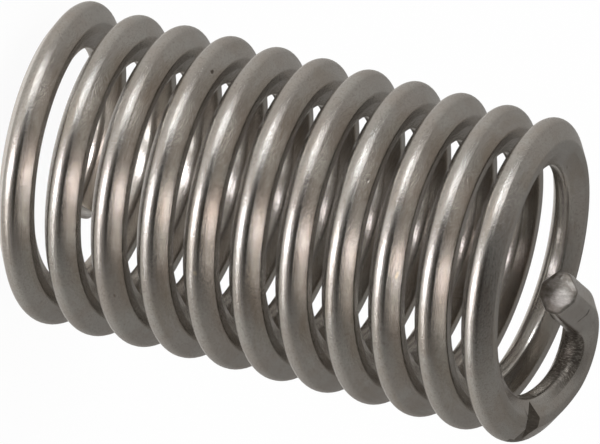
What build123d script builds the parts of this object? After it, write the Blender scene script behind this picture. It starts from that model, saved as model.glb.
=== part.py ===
from build123d import *
from math import atan, cos, degrees, sin, tan, radians, pi
import os

# Helical thread insert: one length of rolled stainless wire wound into a
# right-handed coil.  The wire has a diamond section whose outer crest makes the
# outside thread and whose inner crest makes the inside thread.  The last turn
# ends in a driving tang that bends across the bore behind a break-off notch.
#
# Frame: +Z runs along the coil's axis, from the open first coil, which stands
# on z = 0, up to the tang.  The coil's axis is the Z axis.  Sizes are in mm.

# ---- coil ----------------------------------------------------------------
free_diameter = 7.7       # over the outer crests, before the insert is fitted
pitch = 1.2               # lead of the free coil, a little open
turns = 10.926            # from the wire's first cut to the root of the tang's bend
start_angle = 72.75       # where the wire's first cut lies, from +X towards +Y

# ---- wire section ----------------------------------------------------------
flank_angle = 60.0        # between the two flanks of either thread
outer_crest = 0.297       # width of the outer crest
outer_depth = 0.574       # from the outer crest down to the wire's widest point
inner_depth = 0.543       # from the widest point down to the inner crest
side_flat = 0.205         # height of the flat worn on either side corner

# ---- tang ------------------------------------------------------------------
tang_bend_radius = 1.095  # at the middle of the wire
tang_bend_angle = 126.0
tang_straight = 2.08      # beyond the bend, to just past the coil's axis
plain_turns = 0.75        # last part of the coil, kept out of the screw's thread

# ---- break-off notch ---------------------------------------------------------
notch_before_bend = 38.5  # degrees of coil between the notch and the bend
notch_depth = 0.204       # pressed into the wire's side corner on the tang's end
notch_angle = 120.0       # between its two walls

# ---- worked out from the sizes above -------------------------------------------
outer_r = free_diameter / 2
waist_r = outer_r - outer_depth
inner_r = waist_r - inner_depth
slope = tan(radians(flank_angle / 2))
sharp_half = outer_crest / 2 + outer_depth * slope      # half width at an unworn corner
waist_half = sharp_half - side_flat / 2 * slope         # half width as rolled
wire_width = 2 * waist_half
inner_crest = 2 * (sharp_half - inner_depth * slope)
lead_slope = pitch / (2 * pi * waist_r)


def section(extra=0.0):
    """Wire section as (radius, height) corners; extra carries the crests past size."""
    o, i = outer_r + extra, inner_r - extra
    oc = outer_crest / 2 - extra * slope
    ic = inner_crest / 2 - extra * slope
    flat = side_flat / 2
    half = [(o, oc), (waist_r + flat, waist_half), (waist_r - flat, waist_half), (i, ic)]
    return half + [(r, -z) for r, z in reversed(half)]


def wire_face(points, shift=0.0):
    """The section as a face in the radial plane, shifted along the radius."""
    corners = [Vector(r + shift, 0, z) for r, z in points]
    return Face(Wire.make_polygon(corners, close=True))


def screw(angle):
    """Move round the axis and up it, as the wire runs."""
    return Pos(0, 0, pitch * angle / 360) * Rot(0, 0, angle)


def sides(solid, *ends):
    """All faces but the flat ones that meet the next length of wire."""
    keep = []
    for face in solid.faces():
        centre = face.center(CenterOf.MASS)
        joint = face.geom_type == GeomType.PLANE and any(
            (centre - end).length < wire_width * 0.15 for end in ends
        )
        if not joint:
            keep.append(face)
    return keep


# Threaded length: short pieces of wire, each trimmed to true cylinders at both
# crests, so that the thread's two diameters are exact all the way along.
thread_turns = turns - plain_turns
pieces = max(8, round(thread_turns * 10))
step = thread_turns * 360 / pieces

blank = sweep(
    wire_face(section(extra=0.03)),
    path=Helix(pitch, pitch * step / 360, waist_r),
    is_frenet=True,
)
tall = 4 * (wire_width + pitch)
tube = Cylinder(outer_r, tall) - Cylinder(inner_r, tall)
piece = (blank & (Rot(0, 0, 180) * tube)).solid()

flat_end = wire_face(section())
end_centre = flat_end.center(CenterOf.MASS)


def end_point(angle):
    return (screw(angle) * Vertex(end_centre.X, end_centre.Y, end_centre.Z)).center()


wall = sides(piece, end_point(0), end_point(step))
skin = [screw(step * k) * face for k in range(pieces) for face in wall]

# Plain last turn of the coil, with the notch across the side that faces the tang.
plain_start = thread_turns * 360
plain_angle = plain_turns * 360
last_turn = sweep(flat_end, path=Helix(pitch, pitch * plain_turns, waist_r), is_frenet=True).solid()

notch_at = plain_angle - notch_before_bend
root = waist_half - notch_depth
rise = notch_depth + wire_width / 4
spread = rise * tan(radians(notch_angle / 2))
cutter = Face(
    Wire.make_polygon(
        [
            Vector(0, 0, root),
            Vector(0, spread, root + rise),
            Vector(0, -spread, root + rise),
        ],
        close=True,
    )
)
cutter = Solid.extrude(cutter, Vector(2 * (outer_r - inner_r), 0, 0))
cutter = cutter.moved(Pos(2 * inner_r - outer_r, 0, 0) * Rot(degrees(atan(lead_slope)), 0, 0))
last_turn = (last_turn - screw(notch_at) * cutter).solid()
skin += [
    screw(plain_start) * face
    for face in sides(last_turn, end_point(0), end_point(plain_angle))
]

# Tang: the same wire bent inwards round a small radius, then straight.
bend_lead = lead_slope * 2 * pi * tang_bend_radius
inward = Pos(waist_r - tang_bend_radius, 0, 0)
bend_face = wire_face(section(), shift=tang_bend_radius - waist_r)
bend = sweep(
    bend_face,
    path=Helix(bend_lead, bend_lead * tang_bend_angle / 360, tang_bend_radius),
    is_frenet=True,
).solid()
bend_end = Pos(0, 0, bend_lead * tang_bend_angle / 360) * Rot(0, 0, tang_bend_angle)
tip_face = bend_end * bend_face
run = Vector(-sin(radians(tang_bend_angle)), cos(radians(tang_bend_angle)), lead_slope)
straight = Solid.extrude(tip_face, run.normalized() * tang_straight)

bend_start_centre = bend_face.center(CenterOf.MASS)
bend_end_centre = tip_face.center(CenterOf.MASS)
tang = sides(bend, bend_start_centre, bend_end_centre) + sides(straight, bend_end_centre)
tang_place = screw(turns * 360) * inward
skin += [tang_place * face for face in tang]

# The wire's first cut, square across it.
skin.append(flat_end)

insert = Solid(Shell(skin))
insert = Pos(0, 0, waist_half) * Rot(0, 0, start_angle) * insert
insert.label = "insert_wire"

os.makedirs("parts", exist_ok=True)
export_step(insert, "parts/insert_wire.step")
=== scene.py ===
from math import atan2, cos, degrees, hypot, pi, radians, sin, tan

import bpy
from mathutils import Matrix, Vector


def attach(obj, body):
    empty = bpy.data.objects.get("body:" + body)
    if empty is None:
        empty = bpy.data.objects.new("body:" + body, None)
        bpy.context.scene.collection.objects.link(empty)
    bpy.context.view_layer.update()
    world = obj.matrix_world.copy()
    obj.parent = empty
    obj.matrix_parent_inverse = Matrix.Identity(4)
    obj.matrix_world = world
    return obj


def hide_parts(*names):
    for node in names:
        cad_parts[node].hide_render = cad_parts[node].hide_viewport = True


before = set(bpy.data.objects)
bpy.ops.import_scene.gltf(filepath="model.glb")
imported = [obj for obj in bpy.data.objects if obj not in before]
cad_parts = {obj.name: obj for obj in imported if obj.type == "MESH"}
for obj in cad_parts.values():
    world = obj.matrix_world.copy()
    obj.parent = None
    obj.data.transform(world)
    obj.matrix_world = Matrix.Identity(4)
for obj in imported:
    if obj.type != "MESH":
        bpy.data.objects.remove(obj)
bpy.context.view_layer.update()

# Helical thread insert: one length of stainless wire, rolled to a diamond
# section, wound right-handed and ended by a driving tang.  Sizes are in
# millimetres until the finished piece is brought to metres.

# ------------------------------------------------------------- coil and wire
PITCH = 1.2
TURNS = 10.926
START_ANGLE = 72.75
END_ANGLE = START_ANGLE + 360 * TURNS

OUTER_R = 3.85
WAIST_R = 3.276
INNER_R = 2.733
FLANK = tan(radians(30))
OUTER_CREST = 0.297
INNER_CREST = 0.333
WAIST_HALF = 0.4207
SIDE_FLAT = 0.205         # width of the flat worn on either side corner
OUTER_FLANK = 0.674       # winding opens the outer flanks a little from FLANK,
FLANK_PIVOT = 0.245       # each about a line this far in from the crest
SECTION_LEAN = 0.021      # the wire came off the rolls leaning a hair downwards

# how round the rolls left each corner of the section
SIDE_ROUND = 0.12
OUTER_ROUND = 0.19
INNER_ROUND = 0.161

# the points of one ring of the wire are all within RING_REACH of its middle there,
# and within RING_THIN of the plane across it
RING_REACH = 0.75
RING_THIN = 0.12

# ---------------------------------------------------------------------- tang
BEND_R = 1.095
BEND_ANGLE = 126.0
TANG_STRAIGHT = 2.08
TANG_CLIMB = 0.082        # the bent end climbs a little faster than the coil
BELOW_TANG = 0.7          # further than this below the coil's end there is no tang
TANG_SHARES = (0.26, 0.26, 0.24, 0.14, 0.06, 0.04)    # its straight run, closer near the tip

NOTCH_BEFORE_BEND = 39.6
NOTCH_DEPTH = 0.204
NOTCH_ANGLE = 120.0
NOTCH_ROOT_ROUND = 0.02

# --------------------------------------------- how the free coil sprang back
BOW = Vector((-0.882, -0.471, 0)) * 0.095     # the middle turns stand off the axis
END_DROP = -0.142                             # the open end springs away along the axis
END_SWELL = 0.1                               # and the first turn swells outwards
SWELL_AT = 0.42                               # most of all this many turns from the cut
SPRUNG_TURNS = 0.6                            # how much of the wire either pull moves

# ------------------------------------------------------------- the torn ends
# (share of the straight run back from the tip, pull towards a circle)
TIP_SWELL = ((0.0, 0.62), (0.04, 0.46), (0.10, 0.20))
# the rim rolls over in steps: (inwards, outwards)
RIM_ROLL = ((0.008, 0.026), (0.018, 0.024), (0.034, 0.020), (0.046, 0.010))
RIM_HALF = 0.42
FACE_REACH = 0.34         # the bulge of a torn face fades out this far from its middle
TIP_THIN = 0.02           # near the tip the rings stand closer together

# ------------------------------------------------ where each finish begins
TORN, PRESSED = 1, 2      # the wire's finishes after the rolled one, as its slots hold them
PAST_TIP = 0.004          # the wire is torn this far past the tang's straight run,
PAST_CUT = 0.0001         # before this place on its own run,
TORN_WITHIN = 0.56        # and no further than this from its middle
NOTCH_REACH = 0.5
PRESSED_BELOW = 0.012     # the notch's walls lie at least this far under the flank

# ---------------------------------------------------------------- fineness
STEPS_PER_TURN = 96
BEND_STEPS = 30
SHARP_ANGLE = 38          # faces that meet at more than this shade with an edge
CLOSE = 1e-4              # nearer than this counts as the same place
MM = 0.001

# ---------------------------------------------------- colours of the metal
WARM_GREY = (0.485, 0.450, 0.415)
COOL_GREY = (0.530, 0.518, 0.490)
DRAWN_LINE = (0.515, 0.490, 0.465)
BROWN_STAIN = (0.420, 0.372, 0.315)
DARK_GRAIN = (0.315, 0.280, 0.250)
NICK_FLOOR = (0.300, 0.260, 0.225)
# the bend's inside: scored, and painted dark as shade in the hook's hollow
SHADED_SCORE_DARK = (0.115, 0.100, 0.085)
SHADED_SCORE_PALE = (0.400, 0.372, 0.335)
DARK_MARK = (0.085, 0.065, 0.050)
PALE_FLECK = (0.72, 0.64, 0.50)
TORN_DARK = (0.250, 0.225, 0.200)
TORN_PALE = (0.780, 0.765, 0.745)
# middle of the painted highlight on the torn faces: TORN_PALE painted round this place, where they
# catch the light
TORN_HIGHLIGHT_AT = (-0.06, 0.15)
PRESSED_DARK = (0.200, 0.178, 0.152)
PRESSED_PALE = (0.290, 0.262, 0.228)

# the finish changes between these, outwards from the wire's middle
SIDE_FADE = (-0.15, 0.10)     # from the side towards the bore to the outer side
CREST_FADE = (0.48, 0.56)     # from the outer flanks to the outer crest

# marks of their own, as lines: (start, end, full within, gone at)
GOUGE = (                     # on the tang's bend
    ((0.70, 1.05, 14.10), (0.46, 1.18, 14.21), 0.004, 0.045),
    ((0.50, 1.17, 14.20), (0.41, 1.23, 14.22), 0.02, 0.065),
)
SPECK = (                     # dark, on the fourth turn
    ((-2.95, -2.12, 4.83), (-2.92, -2.16, 4.83), 0.02, 0.075),
)
FLECKS = (                    # pale, on two other turns
    ((0.65, -3.48, 11.07), (0.72, -3.48, 11.07), 0.01, 0.06),
    ((1.76, -3.37, 6.10), (1.80, -3.35, 6.12), 0.01, 0.05),
)

# --------------------------------------------- studio and camera, in metres
MIDDLE = Vector((0, 0, 0.007))    # what the lamps face
LAMP_AWAY = 0.30
TENT_RADIUS = 0.8
FLOOR_SIZE = 1.6
FLOOR_GAP = 0.02                  # in millimetres, below the lowest turn
FLOOR_WHITE = 0.94                # how much of what is seen of the floor is plain white
PALE = (0.9, 0.9, 0.9, 1)
WHITE = (1, 1, 1, 1)

LENS = 1202.3
CAMERA_RISE = 20.66
CAMERA_ROLL = 103.95
CAMERA_AWAY = 0.47447
AIM_HEIGHT = 0.006976
AIM_RIGHT = 0.0000598
AIM_UP = 0.0000068


# ------------------------------------------------------------ small helpers
def only(*objs):
    """Selects these objects and nothing else."""
    if bpy.context.mode != "OBJECT":
        bpy.ops.object.mode_set(mode="OBJECT")
    bpy.ops.object.select_all(action="DESELECT")
    for obj in objs:
        obj.select_set(True)
    if objs:
        bpy.context.view_layer.objects.active = objs[-1]


def edit(obj, mode="VERT", pick=None):
    """Into edit mode with the vertices, edges or faces for which pick is true selected."""
    only(obj)
    bpy.ops.object.mode_set(mode="EDIT")
    bpy.ops.mesh.select_mode(type=mode)
    bpy.ops.mesh.select_all(action="DESELECT")
    if pick is not None:
        bpy.ops.object.mode_set(mode="OBJECT")
        parts = {"VERT": obj.data.vertices, "EDGE": obj.data.edges, "FACE": obj.data.polygons}[mode]
        for part in parts:
            part.select = pick(part)
        bpy.ops.object.mode_set(mode="EDIT")


def leave():
    """Back to object mode, so that the selection can be read and the next edit begins."""
    bpy.ops.object.mode_set(mode="OBJECT")


def apply_modifiers(obj):
    """Makes every modifier on the piece part of its mesh."""
    only(obj)
    for name in [m.name for m in obj.modifiers]:
        bpy.ops.object.modifier_apply(modifier=name)


def turn(angle, centre=(0, 0, 0), axis="Z"):
    """Right-handed turn of the selection in degrees."""
    bpy.ops.transform.rotate(value=-radians(angle), orient_axis=axis, center_override=centre)


def around(angle, radius=1.0, z=0.0):
    """The place at an angle round the coil's axis."""
    return Vector((radius * cos(radians(angle)), radius * sin(radians(angle)), z))


# ----------------------------------------------------------------- the wire
def wire_section():
    """The rolled section as one closed loop of edges, at angle 0."""
    only()
    bpy.ops.mesh.primitive_circle_add(
        vertices=8, radius=0.6, fill_type="NOTHING",
        location=(WAIST_R, 0, 0), rotation=(pi / 2, 0, 0),
    )
    loop = bpy.context.object
    loop.name = loop.data.name = "insert_coil"
    bpy.ops.object.transform_apply(location=True, rotation=True, scale=True)

    lean_out = -SECTION_LEAN * (OUTER_R - WAIST_R)
    lean_in = SECTION_LEAN * (WAIST_R - INNER_R)
    flat = SIDE_FLAT / 2
    crest = OUTER_CREST / 2 - FLANK_PIVOT * (OUTER_FLANK - FLANK)
    shoulder = OUTER_R - (WAIST_HALF - crest) / OUTER_FLANK
    corners = [
        Vector((OUTER_R, 0, crest + lean_out)),
        Vector((shoulder, 0, WAIST_HALF)),
        Vector((WAIST_R - flat, 0, WAIST_HALF)),
        Vector((INNER_R, 0, INNER_CREST / 2 + lean_in)),
        Vector((INNER_R, 0, -INNER_CREST / 2 + lean_in)),
        Vector((WAIST_R - flat, 0, -WAIST_HALF)),
        Vector((shoulder, 0, -WAIST_HALF)),
        Vector((OUTER_R, 0, -crest + lean_out)),
    ]

    def bearing(co):
        return degrees(atan2(co.z, co.x - WAIST_R)) % 360

    corners.sort(key=bearing)
    ring = sorted(loop.data.vertices, key=lambda v: (bearing(v.co) + 1) % 360)
    # both lists run the same way round; start them at the same corner
    count = len(corners)
    shift = min(
        range(count),
        key=lambda k: sum((ring[i].co - corners[(i + k) % count]).length for i in range(count)),
    )
    places = {ring[i].index: corners[(i + shift) % count] for i in range(count)}
    for index, place in places.items():
        edit(loop, "VERT", lambda v: v.index == index)
        bpy.ops.transform.translate(value=place - loop.data.vertices[index].co)
    leave()

    def round_off(setback, segments, which):
        edit(loop, "VERT", lambda v: which(v.co))
        bpy.ops.mesh.bevel(
            offset=setback, offset_type="OFFSET", affect="VERTICES",
            segments=segments, profile=0.5, clamp_overlap=False,
        )
        leave()

    # the setback is the radius times the tangent of half the turn, which is 30 degrees
    # at the ends of a side's flat and 60 at a crest
    round_off(SIDE_ROUND * tan(radians(15)), 3, lambda c: abs(abs(c.z) - WAIST_HALF) < CLOSE)
    round_off(OUTER_ROUND * FLANK, 6, lambda c: abs(c.x - OUTER_R) < CLOSE)
    round_off(INNER_ROUND * FLANK, 4, lambda c: abs(c.x - INNER_R) < CLOSE)
    return loop


def copy_of(obj, name):
    """A second piece like this one, with a mesh of its own."""
    only(obj)
    bpy.ops.object.duplicate()
    twin = bpy.context.object
    twin.name = twin.data.name = name
    return twin


def wound_coil(loop):
    """The section wound up the axis, from the wire's first cut to the tang's bend."""
    edit(loop, "VERT", lambda v: True)
    turn(START_ANGLE)
    bpy.ops.transform.translate(value=(0, 0, WAIST_HALF))
    leave()
    screw = loop.modifiers.new("winding", "SCREW")
    screw.axis = "Z"
    screw.angle = 2 * pi * TURNS
    screw.screw_offset = PITCH * TURNS
    screw.steps = screw.render_steps = round(STEPS_PER_TURN * TURNS)
    screw.use_merge_vertices = False
    apply_modifiers(loop)


def bent_tang(loop):
    """The same wire carried on from the coil's end: round the small bend, then straight."""
    centre = around(END_ANGLE, WAIST_R - BEND_R)
    edit(loop, "VERT", lambda v: True)
    turn(END_ANGLE % 360)
    bpy.ops.transform.translate(value=(0, 0, WAIST_HALF + PITCH * TURNS))
    step = BEND_ANGLE / BEND_STEPS
    climb = TANG_CLIMB * radians(step) * BEND_R
    for _ in range(BEND_STEPS):
        bpy.ops.mesh.extrude_edges_move()
        turn(step, centre)
        bpy.ops.transform.translate(value=(0, 0, climb))
    way = around(END_ANGLE + BEND_ANGLE + 90, 1.0, TANG_CLIMB).normalized()
    for share in TANG_SHARES:
        bpy.ops.mesh.extrude_edges_move()
        bpy.ops.transform.translate(value=way * TANG_STRAIGHT * share)
    leave()


def pull(value, falloff, reach, connected):
    """Moves the selection, and what is near it less and less out to the reach."""
    bpy.ops.transform.translate(
        value=value, use_proportional_edit=True, use_proportional_connected=connected,
        proportional_edit_falloff=falloff, proportional_size=reach,
    )
    # the setting would otherwise stay on for the transforms that follow
    bpy.context.scene.tool_settings.use_proportional_edit = False


def spring_back(wire):
    """The free coil isn't perfect: it bows, and its open end has sprung out a little."""
    middle = WAIST_HALF + PITCH * TURNS / 2
    to_the_ends = PITCH * (TURNS / 2 - 0.1)
    edit(wire, "VERT", lambda v: abs(v.co.z - middle) < PITCH * 0.55)
    pull(BOW, "INVERSE_SQUARE", to_the_ends, connected=False)
    leave()

    def section_at(turns):
        centre = around(START_ANGLE + 360 * turns, WAIST_R, WAIST_HALF + PITCH * turns)
        across = around(START_ANGLE + 360 * turns + 90)
        return lambda v: (
            (v.co - centre).length < RING_REACH and abs((v.co - centre).dot(across)) < RING_THIN
        )

    reach = SPRUNG_TURNS * 2 * pi * WAIST_R
    swell = around(START_ANGLE + 360 * SWELL_AT, END_SWELL)
    for turns, value in ((0, (0, 0, END_DROP)), (SWELL_AT, swell)):
        edit(wire, "VERT", section_at(turns))
        pull(value, "SMOOTH", reach, connected=True)
        leave()


def open_rim(wire, end):
    """Edges of the wire's open rim at its first cut (end 0) or at the tang's tip (end 1)."""
    only(wire)
    bpy.ops.object.mode_set(mode="EDIT")
    bpy.ops.mesh.select_mode(type="EDGE")
    bpy.ops.mesh.select_all(action="DESELECT")
    bpy.ops.mesh.select_non_manifold()
    leave()
    verts = wire.data.vertices
    rim = [e.index for e in wire.data.edges if e.select]
    middle = WAIST_HALF + PITCH * TURNS / 2
    return {i for i in rim if (verts[wire.data.edges[i].vertices[0]].co.z > middle) == bool(end)}


def picked_face(wire):
    """The one face that the last edit left selected."""
    return next(f for f in wire.data.polygons if f.select)


def swell_tip(wire, way):
    """Shearing left the tang's tip a little rounder than the wire behind it."""
    tip = around(END_ANGLE, WAIST_R - BEND_R) + around(END_ANGLE + BEND_ANGLE, BEND_R)
    tip += way * TANG_STRAIGHT
    tip.z = WAIST_HALF + PITCH * TURNS + TANG_CLIMB * (radians(BEND_ANGLE) * BEND_R + TANG_STRAIGHT)
    for back, roundness in TIP_SWELL:
        place = tip - way * TANG_STRAIGHT * back
        edit(wire, "VERT", lambda v: (
            (v.co - place).length < RING_REACH and abs((v.co - place).dot(way)) < TIP_THIN
        ))
        bpy.ops.transform.tosphere(value=roundness)
        leave()


def close_ends(wire):
    """Each cut end is rolled over at its rim and closed by an uneven, bulging, torn face."""
    way = around(END_ANGLE + BEND_ANGLE + 90)
    swell_tip(wire, way)
    first_cut = (0, -around(START_ANGLE + 90), 0.004, 0.02)
    tang_tip = (1, way, 0.006, 0.07)
    for end, outwards, unevenness, bulge in (first_cut, tang_tip):
        rim = open_rim(wire, end)
        edit(wire, "EDGE", lambda e: e.index in rim)
        bpy.ops.mesh.edge_face_add()
        bpy.ops.mesh.select_mode(type="FACE")
        for inward, outward in RIM_ROLL:
            leave()
            centre = picked_face(wire).center + outwards * outward
            bpy.ops.object.mode_set(mode="EDIT")
            bpy.ops.mesh.extrude_region_move(TRANSFORM_OT_translate={"value": outwards * outward})
            bpy.ops.transform.resize(value=(1 - inward / RIM_HALF,) * 3, center_override=centre)
        leave()

        # a plain many-sided face would shade flat, so a grid of small ones takes its place
        edges = {tuple(sorted(k)) for k in picked_face(wire).edge_keys}
        bpy.ops.object.mode_set(mode="EDIT")
        bpy.ops.mesh.delete(type="ONLY_FACE")
        leave()
        edit(wire, "EDGE", lambda e: tuple(sorted(e.vertices)) in edges)
        bpy.ops.mesh.fill_grid(span=9)
        bpy.ops.transform.vertex_random(offset=unevenness, uniform=0.0, normal=1.0, seed=3 + end)
        leave()
        middle = min(wire.data.vertices, key=lambda v: (v.co - centre).length).index
        edit(wire, "VERT", lambda v: v.index == middle)
        pull(outwards * bulge, "SPHERE", FACE_REACH, connected=True)
        leave()


def cut_notch(wire):
    """The break-off notch: a wide vee pressed into the side corner that faces the tang end."""
    before = PITCH * NOTCH_BEFORE_BEND / 360
    root = WAIST_HALF - NOTCH_DEPTH
    rise = NOTCH_DEPTH + 0.2          # the wedge stands clear of the wire
    spread = rise * tan(radians(NOTCH_ANGLE / 2))
    only()
    bpy.ops.mesh.primitive_cylinder_add(
        vertices=3, radius=0.4, depth=2 * (OUTER_R - INNER_R),
        location=(WAIST_R, 0, 0), rotation=(0, pi / 2, 0),
    )
    wedge = bpy.context.object
    wedge.name = "notch_wedge"
    bpy.ops.object.transform_apply(location=True, rotation=True, scale=True)
    corners = [(0, root), (spread, root + rise), (-spread, root + rise)]
    columns = {}
    for v in wedge.data.vertices:
        columns.setdefault((round(v.co.y, 3), round(v.co.z, 3)), []).append(v.index)

    def bearing(y, z, middle):
        return atan2(z - middle, y) % (2 * pi)

    corners.sort(key=lambda c: bearing(c[0], c[1], root + rise / 2))
    for place, key in zip(corners, sorted(columns, key=lambda c: bearing(c[0], c[1], 0))):
        edit(wedge, "VERT", lambda v: v.index in columns[key])
        bpy.ops.transform.translate(value=(0, place[0] - key[0], place[1] - key[1]))
        leave()
    deepest = {v.index for v in wedge.data.vertices if abs(v.co.z - root) < CLOSE}
    edit(wedge, "EDGE", lambda e: set(e.vertices) <= deepest)
    bpy.ops.mesh.bevel(offset=NOTCH_ROOT_ROUND, segments=3, affect="EDGES", profile=0.5)
    bpy.ops.mesh.select_all(action="SELECT")
    bpy.ops.mesh.normals_make_consistent(inside=False)
    turn(degrees(atan2(PITCH, 2 * pi * WAIST_R)), axis="X")
    turn((END_ANGLE - NOTCH_BEFORE_BEND) % 360)
    bpy.ops.transform.translate(value=(0, 0, WAIST_HALF + PITCH * TURNS - before))
    leave()
    cut = wire.modifiers.new("notch", "BOOLEAN")
    cut.operation = "DIFFERENCE"
    cut.solver = "EXACT"
    cut.object = wedge
    apply_modifiers(wire)
    only(wedge)
    bpy.ops.object.delete()


def place_on_wire(co):
    """A point's place on the wire: outwards and upwards from its middle, and along its run."""
    angle = degrees(atan2(co.y, co.x)) - START_ANGLE
    level = (co.z - WAIST_HALF) / PITCH
    angle += 360 * round(level - angle / 360)
    angle = min(max(angle, 0.0), 360 * TURNS)
    middle = around(START_ANGLE + angle, WAIST_R, WAIST_HALF + PITCH * angle / 360)
    best = (
        (co - middle).length,
        (hypot(co.x, co.y) - WAIST_R, co.z - middle.z, radians(angle) * WAIST_R),
    )
    coil_run = 2 * pi * TURNS * WAIST_R
    top = WAIST_HALF + PITCH * TURNS
    if co.z < top - BELOW_TANG:
        return best[1]

    centre = around(END_ANGLE, WAIST_R - BEND_R)
    from_centre = Vector((co.x, co.y, 0)) - centre
    bent = (degrees(atan2(from_centre.y, from_centre.x)) - END_ANGLE) % 360
    if bent < BEND_ANGLE:
        climb = top + TANG_CLIMB * radians(bent) * BEND_R
        off = (from_centre.length - BEND_R, co.z - climb)
        best = min(best, (hypot(*off), (*off, coil_run + radians(bent) * BEND_R)))
    way = around(END_ANGLE + BEND_ANGLE + 90)
    out = around(END_ANGLE + BEND_ANGLE)
    gone = max((from_centre - out * BEND_R).dot(way), 0.0)
    climb = top + TANG_CLIMB * (radians(BEND_ANGLE) * BEND_R + gone)
    off = (from_centre.dot(out) - BEND_R, co.z - climb)
    if (from_centre - out * BEND_R).dot(way) > 0:
        best = min(best, (hypot(*off), (*off, coil_run + radians(BEND_ANGLE) * BEND_R + gone)))
    return best[1]


def mark_torn_faces(wire):
    """The cut ends and the notch's walls get finishes of their own."""
    places = [Vector(d.vector) for d in wire.data.attributes["wire_place"].data]
    full_run = 2 * pi * TURNS * WAIST_R + radians(BEND_ANGLE) * BEND_R + TANG_STRAIGHT
    notch_run = radians(360 * TURNS - NOTCH_BEFORE_BEND) * WAIST_R
    for face in wire.data.polygons:
        corners = [places[i] for i in face.vertices]
        middle = sum(corners, Vector()) / len(corners)
        past_an_end = middle.z > full_run + PAST_TIP or middle.z < PAST_CUT
        if past_an_end and max(hypot(c.x, c.y) for c in corners) < TORN_WITHIN:
            face.material_index = TORN
        elif abs(middle.z - notch_run) < NOTCH_REACH and middle.y > 0:
            flank_top = WAIST_HALF - max(abs(middle.x) - SIDE_FLAT / 2, 0) * FLANK
            if middle.y < flank_top - PRESSED_BELOW:
                face.material_index = PRESSED


def note_places(wire):
    """Keeps each vertex's place on the wire for the finish to follow."""
    note = wire.data.attributes.new("wire_place", "FLOAT_VECTOR", "POINT")
    flat = []
    for v in wire.data.vertices:
        flat.extend(place_on_wire(v.co))
    note.data.foreach_set("vector", flat)


def build_insert():
    """The whole piece, in metres and ready for its finishes."""
    coil = wire_section()
    tang = copy_of(coil, "tang")
    wound_coil(coil)
    bent_tang(tang)
    only(tang, coil)
    bpy.ops.object.join()
    edit(coil, "VERT", lambda v: True)
    bpy.ops.mesh.remove_doubles(threshold=2 * CLOSE)
    leave()
    spring_back(coil)
    close_ends(coil)
    edit(coil, "VERT", lambda v: True)
    bpy.ops.mesh.normals_make_consistent(inside=False)
    leave()
    cut_notch(coil)
    note_places(coil)
    coil.scale = (MM, MM, MM)
    only(coil)
    bpy.ops.object.transform_apply(location=True, rotation=True, scale=True)
    bpy.ops.object.shade_smooth_by_angle(angle=radians(SHARP_ANGLE))
    # flat faces keep their flat shine and only the round edges between them turn
    even = coil.modifiers.new("even_shine", "WEIGHTED_NORMAL")
    even.weight = 80
    even.keep_sharp = True
    apply_modifiers(coil)
    return coil


# ---------------------------------------------------------------- materials
def link_up(tree):
    """Short ways to add a node and to wire it up."""
    def node(kind, **settings):
        made = tree.nodes.new(kind)
        for key, value in settings.items():
            setattr(made, key, value)
        return made

    def number(operation, first, second=None, clamp=False):
        made = node("ShaderNodeMath", operation=operation, use_clamp=clamp)
        for k, value in enumerate((first, second)):
            if value is None:
                continue
            if isinstance(value, (int, float)):
                made.inputs[k].default_value = value
            else:
                tree.links.new(value, made.inputs[k])
        return made.outputs[0]

    def spread(value, low, high, to_low=0.0, to_high=1.0):
        made = node("ShaderNodeMapRange", interpolation_type="SMOOTHSTEP")
        tree.links.new(value, made.inputs["Value"])
        made.inputs["From Min"].default_value = low
        made.inputs["From Max"].default_value = high
        made.inputs["To Min"].default_value = to_low
        made.inputs["To Max"].default_value = to_high
        return made.outputs["Result"]

    def blend(share, first, second):
        made = node("ShaderNodeMix", data_type="RGBA")
        tree.links.new(share, made.inputs["Factor"])
        for socket, value in ((made.inputs[6], first), (made.inputs[7], second)):
            if isinstance(value, tuple):
                socket.default_value = (*value, 1)
            else:
                tree.links.new(value, socket)
        return made.outputs[2]

    def noise(where, scale, detail=2.0, rough=0.5, stretch=None, seed=0.0):
        if stretch is not None or seed:
            moved = node("ShaderNodeMapping")
            moved.inputs["Scale"].default_value = stretch or (1, 1, 1)
            moved.inputs["Location"].default_value = (seed, seed * 0.7, seed * 1.3)
            tree.links.new(where, moved.inputs["Vector"])
            where = moved.outputs["Vector"]
        made = node("ShaderNodeTexNoise")
        tree.links.new(where, made.inputs["Vector"])
        made.inputs["Scale"].default_value = scale
        made.inputs["Detail"].default_value = detail
        made.inputs["Roughness"].default_value = rough
        return made.outputs["Fac"]

    return node, number, spread, blend, noise


def near_line(tree, where, start, end, full, gone):
    """1 within `full` mm of the line from start to end, fading to 0 at `gone` mm."""
    node, number, spread, blend, noise = link_up(tree)
    start, end = Vector(start), Vector(end)
    run = (end - start).length
    from_start = node("ShaderNodeVectorMath", operation="SUBTRACT")
    tree.links.new(where, from_start.inputs[0])
    from_start.inputs[1].default_value = start
    off = from_start.outputs["Vector"]
    if run > 0:
        along = node("ShaderNodeVectorMath", operation="DOT_PRODUCT")
        tree.links.new(off, along.inputs[0])
        along.inputs[1].default_value = (end - start) / run
        kept = node("ShaderNodeClamp")
        tree.links.new(along.outputs["Value"], kept.inputs["Value"])
        kept.inputs["Max"].default_value = run
        back = node("ShaderNodeVectorMath", operation="SCALE")
        back.inputs[0].default_value = (end - start) / run
        tree.links.new(kept.outputs["Result"], back.inputs["Scale"])
        across = node("ShaderNodeVectorMath", operation="SUBTRACT")
        tree.links.new(off, across.inputs[0])
        tree.links.new(back.outputs["Vector"], across.inputs[1])
        off = across.outputs["Vector"]
    away = node("ShaderNodeVectorMath", operation="LENGTH")
    tree.links.new(off, away.inputs[0])
    return spread(away.outputs["Value"], full, gone, 1.0, 0.0)


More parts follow.
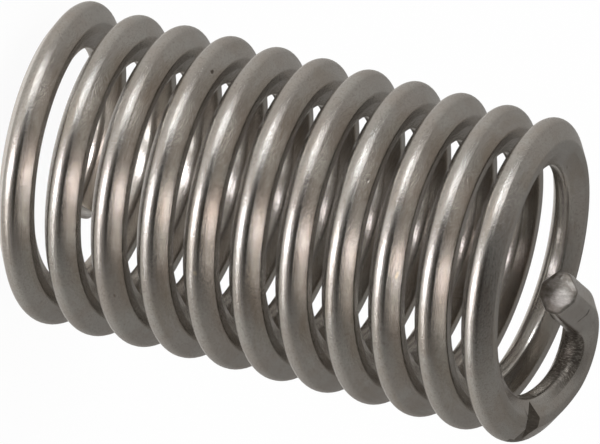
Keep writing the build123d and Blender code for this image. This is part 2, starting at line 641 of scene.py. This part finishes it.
def metal_grain():
    """Fine grain shared by the rolled and the torn metal; works in millimetres."""
    group = bpy.data.node_groups.new("metal_grain", "ShaderNodeTree")
    group.interface.new_socket("Place", in_out="INPUT", socket_type="NodeSocketVector")
    group.interface.new_socket("Grain", in_out="OUTPUT", socket_type="NodeSocketFloat")
    group.interface.new_socket("Ripple", in_out="OUTPUT", socket_type="NodeSocketFloat")
    group.interface.new_socket("Mottle", in_out="OUTPUT", socket_type="NodeSocketFloat")
    node, number, spread, blend, noise = link_up(group)
    place = node("NodeGroupInput").outputs["Place"]
    out = node("NodeGroupOutput")
    group.links.new(noise(place, 20.0, 3.0, 0.75), out.inputs["Grain"])
    group.links.new(noise(place, 3.6, 2.0, 0.55, seed=7.0), out.inputs["Ripple"])
    group.links.new(noise(place, 0.9, 4.0, 0.6, seed=3.0), out.inputs["Mottle"])
    return group


def new_metal(name):
    """A bare metal to dress: the material, its nodes and its shader."""
    mat = bpy.data.materials.new(name)
    mat.use_nodes = True
    shader = mat.node_tree.nodes["Principled BSDF"]
    shader.inputs["Metallic"].default_value = 1.0
    return mat, mat.node_tree, shader


def metal_places(tree, grain_group):
    """The place in millimetres, the place on the wire whole and parted, and the grain there."""
    node, number, spread, blend, noise = link_up(tree)
    to_mm = node("ShaderNodeVectorMath", operation="SCALE")
    tree.links.new(node("ShaderNodeTexCoord").outputs["Object"], to_mm.inputs[0])
    to_mm.inputs["Scale"].default_value = 1 / MM
    noted = node("ShaderNodeAttribute", attribute_type="GEOMETRY", attribute_name="wire_place")
    parted = node("ShaderNodeSeparateXYZ")
    tree.links.new(noted.outputs["Vector"], parted.inputs["Vector"])
    grain = node("ShaderNodeGroup", node_tree=grain_group)
    tree.links.new(to_mm.outputs["Vector"], grain.inputs["Place"])
    return to_mm.outputs["Vector"], noted.outputs["Vector"], parted.outputs, grain.outputs


def raise_metal(tree, shader, height, depth):
    """Bumps the metal outwards, depth millimetres for a height of 1."""
    node, number, spread, blend, noise = link_up(tree)
    bump = node("ShaderNodeBump")
    bump.inputs["Strength"].default_value = 1.0
    bump.inputs["Distance"].default_value = depth * MM
    tree.links.new(height, bump.inputs["Height"])
    tree.links.new(bump.outputs["Normal"], shader.inputs["Normal"])


def bin_nicks(tree, on_wire):
    """A few short dents picked up in the bin."""
    node, number, spread, blend, noise = link_up(tree)
    stretched = node("ShaderNodeMapping")
    stretched.inputs["Scale"].default_value = (2.6, 2.6, 1.5)
    tree.links.new(on_wire, stretched.inputs["Vector"])
    cells = node("ShaderNodeTexVoronoi", feature="F1")
    tree.links.new(stretched.outputs["Vector"], cells.inputs["Vector"])
    cells.inputs["Scale"].default_value = 1.0
    parted = node("ShaderNodeSeparateColor")
    tree.links.new(cells.outputs["Color"], parted.inputs["Color"])
    chosen = number("GREATER_THAN", parted.outputs[0], 0.90)
    near = spread(cells.outputs["Distance"], 0.03, 0.11, 1.0, 0.0)
    return number("MULTIPLY", near, chosen)


def shaded_bend_inside(tree, outwards, along):
    """The bend's inside, scored by the forming pin and painted dark as shade in the hook's hollow;
    narrower towards the tip.
    """
    node, number, spread, blend, noise = link_up(tree)
    bend_run = 2 * pi * TURNS * WAIST_R
    toward_tip = spread(along, bend_run + 0.9, bend_run + 2.6)
    inside = number("ADD", outwards, number("MULTIPLY", toward_tip, 0.22))
    begins = spread(along, bend_run - 1.6, bend_run + 0.2)
    ends = spread(along, bend_run + 3.3, bend_run + 4.1, 1.0, 0.0)
    scored_bend_shade = number("MULTIPLY", spread(inside, -0.34, -0.30, 1.0, 0.0), begins)
    return number("MULTIPLY", scored_bend_shade, ends)


def single_marks(tree, in_mm):
    """The gouge, the speck and the flecks, each with an uneven edge."""
    node, number, spread, blend, noise = link_up(tree)
    wobble = node("ShaderNodeTexNoise")
    tree.links.new(in_mm, wobble.inputs["Vector"])
    wobble.inputs["Scale"].default_value = 6.0
    wander = node("ShaderNodeVectorMath", operation="SCALE")
    tree.links.new(wobble.outputs["Color"], wander.inputs[0])
    wander.inputs["Scale"].default_value = 0.07
    shaken = node("ShaderNodeVectorMath", operation="ADD")
    tree.links.new(in_mm, shaken.inputs[0])
    tree.links.new(wander.outputs["Vector"], shaken.inputs[1])

    def marks(lines):
        found = [near_line(tree, shaken.outputs["Vector"], *line) for line in lines]
        return found[0] if len(found) == 1 else number("MAXIMUM", *found)

    return marks(GOUGE), marks(SPECK), marks(FLECKS)


def rolled_steel(grain_group):
    """Satin rolled stainless wire: drawn lines along it, grain, faint stains and nicks."""
    mat, tree, shader = new_metal("stainless_wire")
    node, number, spread, blend, noise = link_up(tree)
    in_mm, on_wire, parted, grain = metal_places(tree, grain_group)
    fine, ripple, mottle = (grain[k] for k in ("Grain", "Ripple", "Mottle"))
    outwards, along = parted["X"], parted["Z"]

    lines = noise(on_wire, 1.0, 3.0, 0.6, stretch=(22.0, 22.0, 0.55))
    broad_lines = noise(on_wire, 1.0, 2.0, 0.5, stretch=(7.0, 7.0, 0.22), seed=5.0)
    stains = noise(on_wire, 1.0, 5.0, 0.62, stretch=(1.6, 1.6, 0.5), seed=11.0)
    scores = noise(on_wire, 1.0, 4.0, 0.75, stretch=(9.0, 9.0, 16.0), seed=2.0)
    nick = bin_nicks(tree, on_wire)
    scored_bend_shade = shaded_bend_inside(tree, outwards, along)
    gouge, speck, flecks = single_marks(tree, in_mm)

    # colour: warm grey, a little pinker or bluer from place to place, browner stains
    tone = blend(spread(mottle, 0.35, 0.65), WARM_GREY, COOL_GREY)
    tone = blend(spread(broad_lines, 0.42, 0.62, 0.0, 0.45), tone, DRAWN_LINE)
    tone = blend(spread(stains, 0.52, 0.68, 0.0, 0.50), tone, BROWN_STAIN)
    tone = blend(spread(fine, 0.34, 0.50, 0.50, 0.0), tone, DARK_GRAIN)
    tone = blend(number("MULTIPLY", nick, 0.5), tone, NICK_FLOOR)
    # the bend's inside is scored across, and painted dark as shade in the hook's hollow
    scored_shade_tone = blend(spread(scores, 0.44, 0.66), SHADED_SCORE_DARK, SHADED_SCORE_PALE)
    tone = blend(number("MULTIPLY", scored_bend_shade, 0.92), tone, scored_shade_tone)
    dark_marks = number("MAXIMUM", gouge, speck)
    tone = blend(number("MULTIPLY", dark_marks, 0.85), tone, DARK_MARK)
    tone = blend(number("MULTIPLY", flecks, 0.7), tone, PALE_FLECK)
    tree.links.new(tone, shader.inputs["Base Color"])

    # roughness: satin outside, duller in the bore and on the bend's scored inside
    on_crest = spread(outwards, *CREST_FADE)
    outer_side = spread(outwards, *SIDE_FADE)
    rough = number("ADD", number("MULTIPLY", fine, 0.14), 0.06)
    rough = number("ADD", rough, number("MULTIPLY", on_crest, 0.02))
    rough = number("ADD", rough, spread(outwards, *SIDE_FADE, 0.09, 0.0))
    rough = number("ADD", rough, number("MULTIPLY", mottle, 0.07))
    patches = spread(ripple, 0.42, 0.62, 0.0, 0.05)
    rough = number("ADD", rough, number("MULTIPLY", outer_side, patches))
    rough = number("ADD", rough, number("MULTIPLY", scored_bend_shade, 0.25))
    rough = number("SUBTRACT", rough, number("MULTIPLY", lines, 0.04), clamp=True)
    tree.links.new(rough, shader.inputs["Roughness"])

    # height: grain and lines, strongest on the crest and faint in the bore
    height = number("ADD", number("MULTIPLY", fine, 0.8), number("MULTIPLY", lines, 0.3))
    height = number("MULTIPLY", height, number("ADD", number("MULTIPLY", on_crest, 0.4), 1.0))
    height = number("MULTIPLY", height, spread(outwards, *SIDE_FADE, 0.35, 1.0))
    height = number("ADD", height, number("MULTIPLY", ripple, 0.3))
    height = number("SUBTRACT", height, number("MULTIPLY", nick, 1.2))
    height = number("SUBTRACT", height, number("MULTIPLY", gouge, 3.0))
    raise_metal(tree, shader, height, 0.008)
    return mat


def torn_steel(name, grain_group, dark, light, highlight_at=None):
    """The same metal where it was sheared off or pressed in: rough and smeared.

    The last argument is the middle, in millimetres outwards and upwards from the wire's own, of
    a painted highlight, a patch painted lighter where the face catches the light, or nothing.
    """
    mat, tree, shader = new_metal(name)
    node, number, spread, blend, noise = link_up(tree)
    _, on_wire, parted, grain = metal_places(tree, grain_group)
    fine, ripple = grain["Grain"], grain["Ripple"]
    smear = noise(on_wire, 1.0, 4.0, 0.65, stretch=(14.0, 3.0, 6.0))

    between = tuple(0.6 * d + 0.4 * c for d, c in zip(dark, light))
    tone = blend(spread(ripple, 0.35, 0.65), dark, between)
    # painted highlight: the torn face is painted lighter round this place, where it catches the
    # light
    if highlight_at:
        flat_place = node("ShaderNodeCombineXYZ")
        tree.links.new(parted["X"], flat_place.inputs["X"])
        tree.links.new(parted["Y"], flat_place.inputs["Y"])
        middle = (*highlight_at, 0.0)
        lit = near_line(tree, flat_place.outputs["Vector"], middle, middle, 0.05, 0.34)
        tone = blend(number("MULTIPLY", lit, spread(fine, 0.25, 0.60, 0.45, 1.0)), tone, light)
    tone = blend(spread(smear, 0.40, 0.62, 0.35, 0.0), tone, tuple(c * 0.5 for c in dark))
    tree.links.new(tone, shader.inputs["Base Color"])
    rough = number("ADD", number("MULTIPLY", smear, 0.30), 0.22)
    tree.links.new(rough, shader.inputs["Roughness"])
    height = number("ADD", number("MULTIPLY", smear, 1.0), number("MULTIPLY", fine, 0.6))
    raise_metal(tree, shader, height, 0.016)
    return mat


# ------------------------------------------------------------------- studio
def seen_or_mirrored(nodes, links):
    """1 for rays that look straight at a thing or see it mirrored, and 0 for all others."""
    path = nodes.new("ShaderNodeLightPath")
    seen = path.outputs["Is Camera Ray"]
    for kind in ("Is Glossy Ray", "Is Transmission Ray"):
        either = nodes.new("ShaderNodeMath")
        either.operation = "MAXIMUM"
        links.new(seen, either.inputs[0])
        links.new(path.outputs[kind], either.inputs[1])
        seen = either.outputs[0]
    return seen


def white_where_seen(nodes, links, shader, share):
    """Mixes a plain white into a shader for rays that look straight at it or mirror it."""
    part = nodes.new("ShaderNodeMath")
    part.operation = "MULTIPLY"
    part.inputs[1].default_value = share
    links.new(seen_or_mirrored(nodes, links), part.inputs[0])
    glow = nodes.new("ShaderNodeEmission")
    glow.inputs["Color"].default_value = WHITE
    glow.inputs["Strength"].default_value = 1.0
    mix = nodes.new("ShaderNodeMixShader")
    links.new(part.outputs[0], mix.inputs["Fac"])
    links.new(shader.outputs["BSDF"], mix.inputs[1])
    links.new(glow.outputs["Emission"], mix.inputs[2])
    return mix


def pale_floor():
    """A white floor that still takes a faint shadow."""
    only()
    bpy.ops.mesh.primitive_plane_add(size=FLOOR_SIZE, location=(0, 0, (END_DROP - FLOOR_GAP) * MM))
    floor = bpy.context.object
    floor.name = "floor"
    bpy.ops.object.transform_apply(location=True, rotation=True, scale=True)
    mat = bpy.data.materials.new("pale_floor")
    mat.use_nodes = True
    nodes, links = mat.node_tree.nodes, mat.node_tree.links
    shader = nodes["Principled BSDF"]
    shader.inputs["Base Color"].default_value = PALE
    shader.inputs["Roughness"].default_value = 0.9
    mix = white_where_seen(nodes, links, shader, FLOOR_WHITE)
    links.new(mix.outputs["Shader"], nodes["Material Output"].inputs["Surface"])
    floor.data.materials.append(mat)
    # low lamps shine up through it, as through a light table
    floor.visible_glossy = False
    floor.visible_shadow = False


def pale_world():
    """White where it is seen, and a plain pale room for the rest of the light."""
    world = bpy.data.worlds.new("studio")
    bpy.context.scene.world = world
    world.use_nodes = True
    nodes, links = world.node_tree.nodes, world.node_tree.links
    room = nodes["Background"]
    room.inputs["Color"].default_value = PALE
    room.inputs["Strength"].default_value = 1.0
    white = nodes.new("ShaderNodeBackground")
    white.inputs["Color"].default_value = WHITE
    white.inputs["Strength"].default_value = 1.0
    mix = nodes.new("ShaderNodeMixShader")
    links.new(seen_or_mirrored(nodes, links), mix.inputs["Fac"])
    links.new(room.outputs["Background"], mix.inputs[1])
    links.new(white.outputs["Background"], mix.inputs[2])
    links.new(mix.outputs["Shader"], nodes["World Output"].inputs["Surface"])


def heading(azimuth, elevation):
    """A direction from the insert: azimuth 0 is to the front (-Y), 90 to the right (+X)."""
    a, e = radians(azimuth), radians(elevation)
    return Vector((cos(e) * sin(a), -cos(e) * cos(a), sin(e)))


def soft_lamp(name, way, width, height, brightness, spin=0.0, colour=(1, 1, 1)):
    """A panel of light in the direction `way`, facing the insert and spun about that line."""
    data = bpy.data.lights.new(name, "AREA")
    data.shape = "RECTANGLE"
    data.size, data.size_y = width, height
    data.energy = pi * width * height * brightness
    data.color = colour
    lamp = bpy.data.objects.new(name, data)
    bpy.context.scene.collection.objects.link(lamp)
    look = (-way).to_track_quat("-Z", "Y").to_matrix().to_4x4()
    spun = Matrix.Rotation(radians(spin), 4, "Z")
    lamp.matrix_world = Matrix.Translation(MIDDLE + LAMP_AWAY * way) @ look @ spun
    lamp.visible_camera = False


def light_tent(cloth_grey, patches):
    """A cloth tent round the studio that only the metal's reflections see.

    Each patch is (azimuth, elevation, reach in degrees, grey): the cloth has that
    grey at the middle of the patch and fades back to its own at the reach.
    """
    def warm(grey):
        return (grey * 1.03, grey * 0.99, grey * 0.94, 1)

    only()
    bpy.ops.mesh.primitive_uv_sphere_add(
        segments=48, ring_count=24, radius=TENT_RADIUS, location=MIDDLE,
    )
    tent = bpy.context.object
    tent.name = "light_tent"
    mat = bpy.data.materials.new("light_tent")
    mat.use_nodes = True
    nodes, links = mat.node_tree.nodes, mat.node_tree.links
    place = nodes.new("ShaderNodeTexCoord")
    way = nodes.new("ShaderNodeVectorMath")
    way.operation = "NORMALIZE"
    links.new(place.outputs["Object"], way.inputs[0])
    cloth = nodes.new("ShaderNodeRGB")
    cloth.outputs[0].default_value = warm(cloth_grey)
    colour = cloth.outputs[0]
    for azimuth, elevation, reach, grey in patches:
        share = nodes.new("ShaderNodeVectorMath")
        share.operation = "DOT_PRODUCT"
        share.inputs[1].default_value = heading(azimuth, elevation)
        links.new(way.outputs["Vector"], share.inputs[0])
        angle = nodes.new("ShaderNodeMath")
        angle.operation = "ARCCOSINE"
        links.new(share.outputs["Value"], angle.inputs[0])
        fade = nodes.new("ShaderNodeMapRange")
        fade.interpolation_type = "SMOOTHSTEP"
        fade.inputs["From Min"].default_value = 0.0
        fade.inputs["From Max"].default_value = radians(reach)
        fade.inputs["To Min"].default_value = 1.0
        fade.inputs["To Max"].default_value = 0.0
        links.new(angle.outputs[0], fade.inputs["Value"])
        mix = nodes.new("ShaderNodeMix")
        mix.data_type = "RGBA"
        links.new(fade.outputs["Result"], mix.inputs["Factor"])
        links.new(colour, mix.inputs[6])
        mix.inputs[7].default_value = warm(grey)
        colour = mix.outputs[2]
    glow = nodes.new("ShaderNodeEmission")
    links.new(colour, glow.inputs["Color"])
    links.new(glow.outputs["Emission"], nodes["Material Output"].inputs["Surface"])
    tent.data.materials.append(mat)
    tent.visible_camera = False
    tent.visible_diffuse = False
    tent.visible_shadow = False
    tent.visible_transmission = False


def studio():
    pale_floor()
    pale_world()
    soft_lamp("key", heading(-55, 20), 0.025, 0.20, 12.0, spin=25, colour=(0.94, 0.97, 1.0))
    soft_lamp("low_front", heading(15, -20), 0.045, 0.22, 11.0, spin=15, colour=(1.0, 0.96, 1.0))
    soft_lamp("low_side", heading(50, -20), 0.05, 0.06, 6.0, spin=-15)
    soft_lamp("rim", heading(-75, 50), 0.09, 0.09, 3.0)
    soft_lamp("table", heading(10, -45), 0.25, 0.20, 0.4)
    light_tent(0.6, [
        (15, 60, 115, 0.03),      # the dark room above and in front
        (-40, -5, 45, 1.0),       # white card low on the left
        (20, -20, 55, 0.9),       # white card under the view
        (170, 15, 90, 0.22),      # dark again behind the insert
        (180, -45, 35, 1.0),      # white table edge behind it
    ])


def camera():
    """In front, a little above and rolled, so that the coil's axis lies nearly level."""
    rise, roll = radians(CAMERA_RISE), radians(CAMERA_ROLL)
    side = Vector((1, 0, 0))
    over = Vector((0, sin(rise), cos(rise)))
    back = Vector((0, -cos(rise), sin(rise)))
    right = side * cos(roll) + over * sin(roll)
    up = over * cos(roll) - side * sin(roll)
    aim = Vector((0, 0, AIM_HEIGHT)) + right * AIM_RIGHT + up * AIM_UP
    data = bpy.data.cameras.new("camera")
    data.lens = LENS
    data.sensor_width = 36
    data.clip_start, data.clip_end = 0.01, 10
    cam = bpy.data.objects.new("camera", data)
    bpy.context.scene.collection.objects.link(cam)
    facing = Matrix((right, up, back)).transposed().to_4x4()
    cam.matrix_world = Matrix.Translation(aim + back * CAMERA_AWAY) @ facing
    bpy.context.scene.camera = cam


wire = build_insert()
wire.data.materials.clear()
grain = metal_grain()
wire.data.materials.append(rolled_steel(grain))
wire.data.materials.append(torn_steel("torn_end", grain, TORN_DARK, TORN_PALE, TORN_HIGHLIGHT_AT))
wire.data.materials.append(torn_steel("pressed_notch", grain, PRESSED_DARK, PRESSED_PALE))
mark_torn_faces(wire)
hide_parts("insert_wire")
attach(wire, "root")
studio()
camera()

bpy.context.scene.view_settings.view_transform = "Standard"
